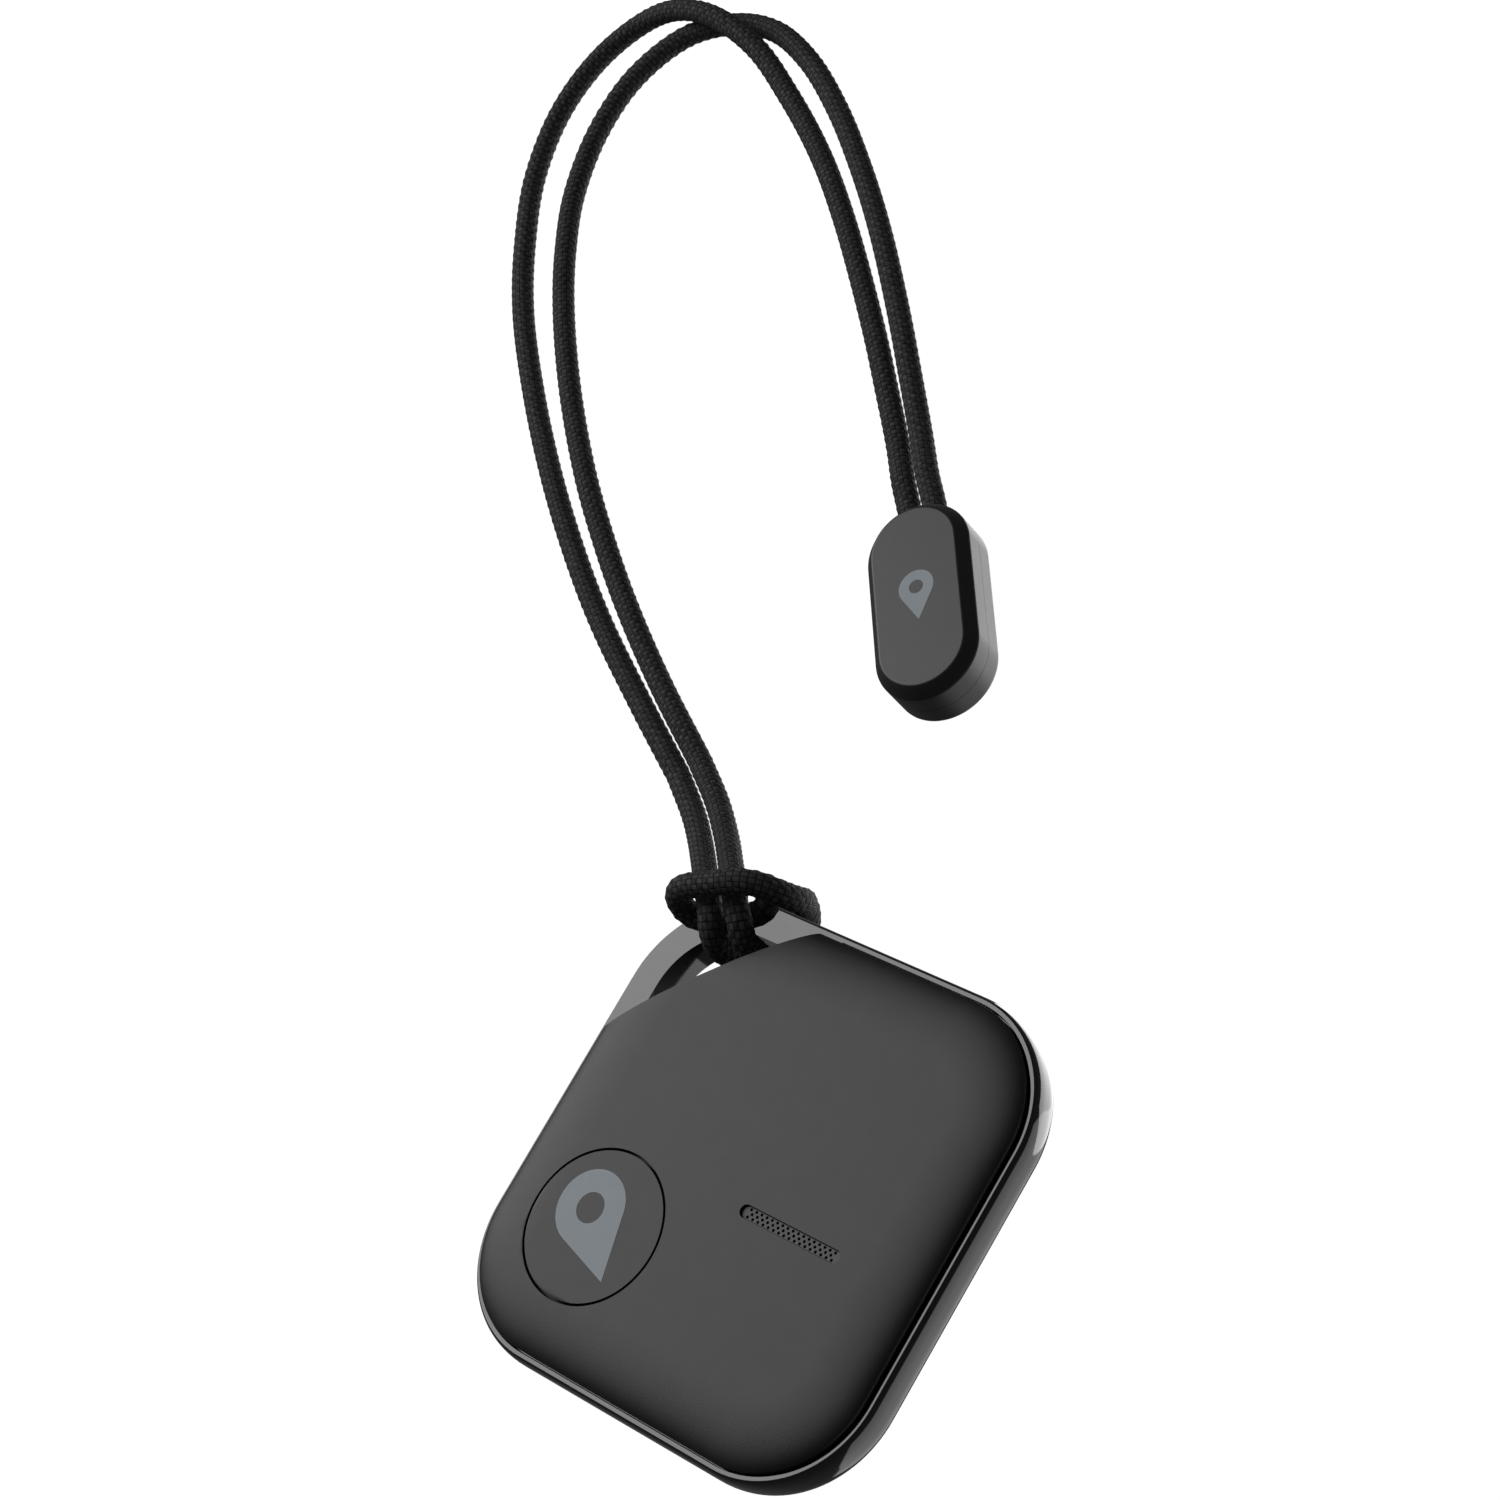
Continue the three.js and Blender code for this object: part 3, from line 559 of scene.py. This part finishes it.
def make_cord():
    parts = [centripetal(FIRST_STRAND), centripetal(HITCH), centripetal(SECOND_STRAND)]
    path, length = resample(np.vstack([parts[0], parts[1][1:], parts[2][1:]]), BRAID_STEP)
    _, side, up = frames_along(path)
    turn = np.arange(BRAID_SIDES) * 2 * math.pi / BRAID_SIDES
    travel = np.arange(len(path)) * BRAID_STEP
    wave = np.cos(travel * 2 * math.pi / BRAID_PITCH)[:, None] * np.cos(turn * BRAID_CELLS)[None]
    radius = CORD_RADIUS - BRAID_RELIEF + BRAID_RELIEF * wave
    around = side[:, None] * np.cos(turn)[None, :, None] + up[:, None] * np.sin(turn)[None, :, None]
    rings = path[:, None] + around * radius[..., None]
    first_end, last_end = (end[:, None].repeat(BRAID_SIDES, 1) for end in (path[:1], path[-1:]))
    rings = np.concatenate([first_end, rings, last_end])
    cord = loft("cord_braid", rings.tolist(), capped=False)
    unwrap_cord(cord)
    finish_piece(cord, "case", CORD_NODES, BRAID, crease=80, weighed=False)
    # The polished rim would mirror the cord as a black patch.
    cord.visible_glossy = False
    return cord, path * MM, length * MM


def unwrap_cord(cord):
    """UV in yarn cells: U round the cord, V along it."""
    layer = cord.data.uv_layers.new(name="braid")
    per_cell = 2 * BRAID_CELLS / BRAID_SIDES
    per_step = 2 * BRAID_STEP / BRAID_PITCH
    index = np.empty(len(cord.data.loops), dtype=np.int64)
    cord.data.loops.foreach_get("vertex_index", index)
    column = (index % BRAID_SIDES).astype(float)
    row = (index // BRAID_SIDES).astype(float)
    start = np.empty(len(cord.data.polygons), dtype=np.int64)
    total = np.empty(len(cord.data.polygons), dtype=np.int64)
    cord.data.polygons.foreach_get("loop_start", start)
    cord.data.polygons.foreach_get("loop_total", total)
    for offset in range(4):
        wrapped = start[total > offset] + offset
        first = column[start[total > offset]]
        jump = (first > BRAID_SIDES / 2) & (column[wrapped] == 0)
        column[wrapped[jump]] = BRAID_SIDES
    uv = np.stack([column * per_cell + 0.5, row * per_step + 0.5], axis=1)
    layer.data.foreach_set("uv", uv.ravel())


cord, cord_path, cord_length = make_cord()


# ---- Case ---------------------------------------------------------------------------------------------
COVER_INSET = RIM_WIDTH + FIT
BULKHEAD_FACE = CORNER_CUT - FIT
BULKHEAD_WIDTH = 1.0
INSIDE_CUT = BULKHEAD_FACE - BULKHEAD_WIDTH
WEB_WIDTH = 0.8
WEB_HEIGHT = 0.8
WEB_BOTTOM = BOARD_BOTTOM - WEB_HEIGHT
COVER_EDGE_TOP = CROWN - COVER_DOME
COVER_WALL = 1.1
WINDOW_INSET = 2.5
BACK_REBATE_INSET = 1.42
BACK_INSET = 0.6
BACK_ROUND_RUN = 3.0
BACK_ROUND_RISE = 2.0
SPIGOT_INSET = 1.52
SPIGOT_WALL = 0.9
BACK_FLOOR = 0.8
NOTCH_HALF_WIDTH = 3.0
NOTCH_OUTER = -18.4
NOTCH_INNER = -17.4
NOTCH_HALF_HEIGHT = 0.5
FLANGE_WIDTH = 0.6
FLANGE_HEIGHT = 0.15
REVEAL = 0.05  # gap between parts that nearly touch in height


def plate(inset, cut, low, high):
    return prism("plate", tag_outline(inset, cut), low, high)


def cover_blank(name):
    dome = eased_levels(COVER_INSET, COVER_ROUND, COVER_EDGE_TOP, COVER_DOME, 20)
    return skin(name, [(COVER_INSET, FRAME_BOTTOM)] + dome)


def make_frame():
    height = FRAME_TOP - FRAME_BOTTOM
    rise = (height - WALL_FLAT) / 2
    upper = eased_levels(-FRAME_BULGE, FRAME_BULGE, FRAME_TOP - rise, rise, 12)
    lower = [(inset, FRAME_BOTTOM + FRAME_TOP - z) for inset, z in reversed(upper)]
    body = skin("case_frame", lower + upper)
    below, above = FRAME_BOTTOM - MARGIN, FRAME_TOP + MARGIN
    eyelet = plate(EYELET_WIDTH, None, below, above)
    subtract(eyelet, prism("keep", tag_outline(BEYOND, BULKHEAD_FACE), below - MARGIN, above + MARGIN))
    cover_rebate = plate(RIM_WIDTH, INSIDE_CUT, BOARD_BOTTOM, above)
    back_rebate = plate(BACK_REBATE_INSET, INSIDE_CUT, below, WEB_BOTTOM)
    window = plate(WINDOW_INSET, INSIDE_CUT - WEB_WIDTH, below - MARGIN, above + MARGIN)
    subtract(body, eyelet, cover_rebate, back_rebate, window)
    soften_edges(body, EDGE_ROUND)
    finish_piece(body, "case", ["mid_frame"], GLOSS)


def make_cover():
    base = BOARD_BOTTOM + FIT
    cover = cover_blank("case_cover")
    low, high = CEILING - MARGIN, CROWN + MARGIN
    boolean(cover, prism("above", tag_outline(BEYOND, CORNER_CUT), base, high), "INTERSECT")
    under_edge = prism("under_edge", tag_outline(BEYOND), base - MARGIN, FRAME_TOP + REVEAL)
    kept = tag_outline(BEYOND, INSIDE_CUT - FIT)
    subtract(under_edge, prism("keep", kept, base - 2 * MARGIN, FRAME_TOP + MARGIN))
    pocket = plate(COVER_INSET + COVER_WALL, INSIDE_CUT - FIT - COVER_WALL, base - MARGIN, CEILING)
    hole = prism("hole", circle(BUTTON, BUTTON_RADIUS + BUTTON_GAP), low, high)
    slot = prism("slot", stadium(SLOT_LENGTH, SLOT_WIDTH, SLOT), low, high)
    subtract(cover, under_edge, pocket, hole, slot)
    soften_edges(cover, EDGE_ROUND)
    finish_piece(cover, "case", ["front_cover"], COVER)


def make_button():
    top = CEILING - REVEAL
    bottom = top - FLANGE_HEIGHT
    button = cover_blank("button")
    boolean(button, prism("core", circle(BUTTON, BUTTON_RADIUS), bottom, CROWN + MARGIN), "INTERSECT")
    unite(button, prism("flange", circle(BUTTON, BUTTON_RADIUS + FLANGE_WIDTH), bottom, top))
    soften_edges(button, EDGE_ROUND)
    finish_piece(button, "button", ["button_cap"], COVER)


def make_back():
    top = FRAME_BOTTOM - REVEAL
    spigot_top = high_z("back_cover")
    turned_down = reversed(eased_levels(BACK_INSET, BACK_ROUND_RUN, 0, BACK_ROUND_RISE, 16))
    levels = [(inset, BACK_ROUND_RISE - z) for inset, z in turned_down]
    back = skin("case_back", levels + [(BACK_INSET, top)])
    boolean(back, prism("inside_cut", tag_outline(BEYOND, BULKHEAD_FACE), -MARGIN, top), "INTERSECT")
    notch = [
        (-NOTCH_HALF_WIDTH, NOTCH_OUTER), (NOTCH_HALF_WIDTH, NOTCH_OUTER),
        (NOTCH_HALF_WIDTH, NOTCH_INNER), (-NOTCH_HALF_WIDTH, NOTCH_INNER),
    ]
    subtract(back, prism("notch", notch, top - NOTCH_HALF_HEIGHT, top + NOTCH_HALF_HEIGHT))
    unite(back, plate(SPIGOT_INSET, INSIDE_CUT - FIT, top - MARGIN, spigot_top))
    hollow_cut = INSIDE_CUT - FIT - SPIGOT_WALL
    subtract(back, plate(SPIGOT_INSET + SPIGOT_WALL, hollow_cut, BACK_FLOOR, spigot_top + MARGIN))
    soften_edges(back, EDGE_ROUND)
    finish_piece(back, "back", ["back_cover"], COVER)


make_frame()
make_cover()
make_button()
make_back()


# ---- Stopper ------------------------------------------------------------------------------------------
CHANNEL_GAP = 0.08
SEAT_START = -2.0  # the crimp's seat, along the stopper from its middle
SEAT_END = 2.5
SEAT_WIDTH = 5.1
SEAT_BOTTOM = 1.2
SEAT_TOP = 4.05


def place_stopper(obj):
    obj.data.transform(
        Matrix.Translation((STOPPER_PLACE[0], STOPPER_PLACE[1], 0)) @ Matrix.Rotation(STOPPER_TURN, 4, "Z")
    )


def stopper_block(name):
    run, drop = STOPPER_CHAMFER_RUN, STOPPER_CHAMFER_DROP
    rings = []
    for trim, z in ((run, 0), (0, drop), (0, STOPPER_HEIGHT - drop), (run, STOPPER_HEIGHT)):
        outline = stadium(STOPPER_LENGTH - 2 * trim, STOPPER_WIDTH - 2 * trim, steps=40)
        rings.append([(x, y, z) for x, y in outline])
    return loft(name, rings)


def rod(y, radius, start, end):
    rings = []
    for x in (start, end):
        rings.append([(x, y + b, STOPPER_HEIGHT / 2 + a) for a, b in circle((0, 0), radius, 32)])
    return loft("rod", rings)


def make_stopper(name, node, low, high):
    shell = stopper_block(name)
    soften_edges(shell, STOPPER_EDGE_ROUND, segments=3, angle=25)
    side = STOPPER_LENGTH
    outline = [(-side, -side), (side, -side), (side, side), (-side, side)]
    boolean(shell, prism("half", outline, low, high), "INTERSECT")
    for y in (-CORD_SPACING / 2, CORD_SPACING / 2):
        subtract(shell, rod(y, CORD_RADIUS + CHANNEL_GAP, -side, SEAT_START))
    half = SEAT_WIDTH / 2
    seat = [(SEAT_START, -half), (SEAT_END, -half), (SEAT_END, half), (SEAT_START, half)]
    subtract(shell, prism("seat", seat, SEAT_BOTTOM, SEAT_TOP))
    place_stopper(shell)
    return finish_piece(shell, "case", [node], STOPPER)


middle = STOPPER_HEIGHT / 2
stopper_front = make_stopper("stopper_face_half", "stopper_front", middle, STOPPER_HEIGHT + MARGIN)
stopper_rear = make_stopper("stopper_rear_half", "stopper_rear", -MARGIN, middle - SPLIT_GAP)


# ---- Marks --------------------------------------------------------------------------------------------
PIN_RADIUS = 2.35
PIN_HEAD = 1.2
PIN_TIP = -3.6
PIN_HOLE = 0.95
MARK_OVER = 0.012  # the print's top above the surface
MARK_UNDER = -0.03
BUTTON_MARK_SCALE = 1.25
STOPPER_MARK_SCALE = 0.62


def pin_rings(rings=7, steps=96):
    """A map pin as rings of points, from its hole out to its outline."""
    spread = math.acos(PIN_RADIUS / (PIN_HEAD - PIN_TIP))
    start = -math.pi / 2 + spread
    outer = arc((0, PIN_HEAD), PIN_RADIUS, start, math.pi - start, steps)
    right, left = np.array(outer[0]), np.array(outer[-1])
    tip = np.array((0.0, PIN_TIP))
    flank = [tuple(left + (tip - left) * t) for t in np.linspace(0, 1, 13)[1:]]
    flank += [tuple(tip + (right - tip) * t) for t in np.linspace(0, 1, 13)[1:-1]]
    outer = np.array(outer + flank)
    angles = np.arctan2(outer[:, 1] - PIN_HEAD, outer[:, 0])
    inner = np.stack([PIN_HOLE * np.cos(angles), PIN_HEAD + PIN_HOLE * np.sin(angles)], axis=1)
    return [inner + (outer - inner) * t for t in np.linspace(0, 1, rings)]


def make_mark(name, body, centre, turn, scale, height):
    """A thin printed map pin that follows the surface below it."""
    spin = np.array([[math.cos(turn), -math.sin(turn)], [math.sin(turn), math.cos(turn)]])
    flat = [ring @ spin.T * scale + np.array(centre) for ring in pin_rings()]
    sheet = [[(x, y, height(x, y) + MARK_OVER) for x, y in ring] for ring in flat]
    sheet += [[(x, y, height(x, y) + MARK_UNDER) for x, y in ring] for ring in reversed(flat)]
    mark = loft(name, sheet + [sheet[0]], capped=False)
    welded = bmesh.new()
    welded.from_mesh(mark.data)
    bmesh.ops.remove_doubles(welded, verts=welded.verts, dist=0.0001)
    bmesh.ops.recalc_face_normals(welded, faces=welded.faces)
    welded.to_mesh(mark.data)
    welded.free()
    finish_piece(mark, body, [], MARK)


def cover_height(x, y):
    """Height of the cover's domed face over a point."""
    half = FRAME_HALF - COVER_INSET
    radius = FRAME_CORNER - COVER_INSET
    arm = half - radius
    across, along = abs(x) - arm, abs(y) - arm
    depth = radius - math.hypot(max(across, 0), max(along, 0))
    lean = min(depth / COVER_ROUND, 1)
    return COVER_EDGE_TOP + COVER_DOME * math.sqrt(1 - (1 - lean) ** 2)


def stopper_height(x, y):
    """The stopper's face is flat, so its height is the same over any point."""
    return STOPPER_HEIGHT


upright = STOPPER_TURN + math.pi / 2
make_mark("button_mark", "button", BUTTON, math.radians(45), BUTTON_MARK_SCALE, cover_height)
make_mark("stopper_mark", "case", STOPPER_PLACE, upright, STOPPER_MARK_SCALE, stopper_height)


# ---- Materials of the CAD nodes that stay -------------------------------------------------------------
NODE_MATERIALS = {
    SEAL: ["seal_ring", "sounder_ring", "cell_gasket"],
    CHIP: ["switch_base", "radio_chip", "driver_chip", "boost_inductor", "cell_holder"],
    STEEL: ["switch_dome", "crystal", "cell_can", "cell_cap"],
    GRILLE: ["speaker_grille"],
    BRASS: ["sounder_plate"],
    CONTACT: ["positive_contact", "negative_contact", "cord_crimp"],
    CERAMIC: ["sounder_disc", "chip_antenna", "capacitor_left", "capacitor_right"],
    CORE: ["cell_core"],
    BOARD: ["main_board"],
}
for material, names in NODE_MATERIALS.items():
    for name in names:
        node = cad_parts[name]
        node.data.materials.clear()
        node.data.materials.append(material)


# ---- Floor and light, in metres -----------------------------------------------------------------------
FLOOR_SIDE = 6.0
WORLD_STRENGTH = 0.12
CASE_PLACE = (0, 0.01, 0)


def make_floor():
    """A plain floor that glows white to the camera and leaves the lamps' light alone."""
    half = FLOOR_SIDE / 2
    corners = [(-half, -half, 0), (half, -half, 0), (half, half, 0), (-half, half, 0)]
    floor = new_object("floor", corners, [(0, 1, 2, 3)])
    s = Shader("floor_paper")
    tint = s.blend(s.noise(40, 3), linear("#3c3c3c"), linear("#424242"))
    s.set(Base_Color=tint, Roughness=0.9, Emission_Color=linear("#ffffff"), Emission_Strength=1.0)
    floor.data.materials.append(s.material)
    floor.visible_diffuse = False
    floor.visible_glossy = False
    floor.visible_transmission = False
    floor.visible_shadow = False


def make_world(strength):
    world = bpy.data.worlds.new("studio")
    world.use_nodes = True
    world.node_tree.nodes["Background"].inputs["Color"].default_value = (1, 1, 1, 1)
    world.node_tree.nodes["Background"].inputs["Strength"].default_value = strength
    bpy.context.scene.world = world


def softbox(name, place, aim, width, height, radiance):
    """A rectangular lamp that looks at a point. Its power is set from how bright its face looks."""
    lamp = bpy.data.objects.new(name, bpy.data.lights.new(name, "AREA"))
    lamp.data.shape = "RECTANGLE"
    lamp.data.size = width
    lamp.data.size_y = height
    lamp.data.energy = radiance * math.pi * width * height
    direction = Vector(aim) - Vector(place)
    turn = direction.to_track_quat("-Z", "Y").to_matrix().to_4x4()
    lamp.matrix_world = Matrix.Translation(place) @ turn
    bpy.context.collection.objects.link(lamp)


make_floor()
make_world(WORLD_STRENGTH)
# The key lamp is mirrored in the flat faces; the other two stand below the floor and light the walls.
softbox("overhead", (-0.43, 0.05, 0.41), CASE_PLACE, 0.36, 0.76, 4.8)
softbox("rim", (0.02, 0.27, -0.37), (0, 0.02, 0), 0.6, 0.3, 3.3)
softbox("fill", (0.3, 0.02, -0.4), CASE_PLACE, 0.6, 0.6, 1.4)

bpy.context.scene.view_settings.view_transform = "Standard"
bpy.context.scene.view_settings.look = "None"
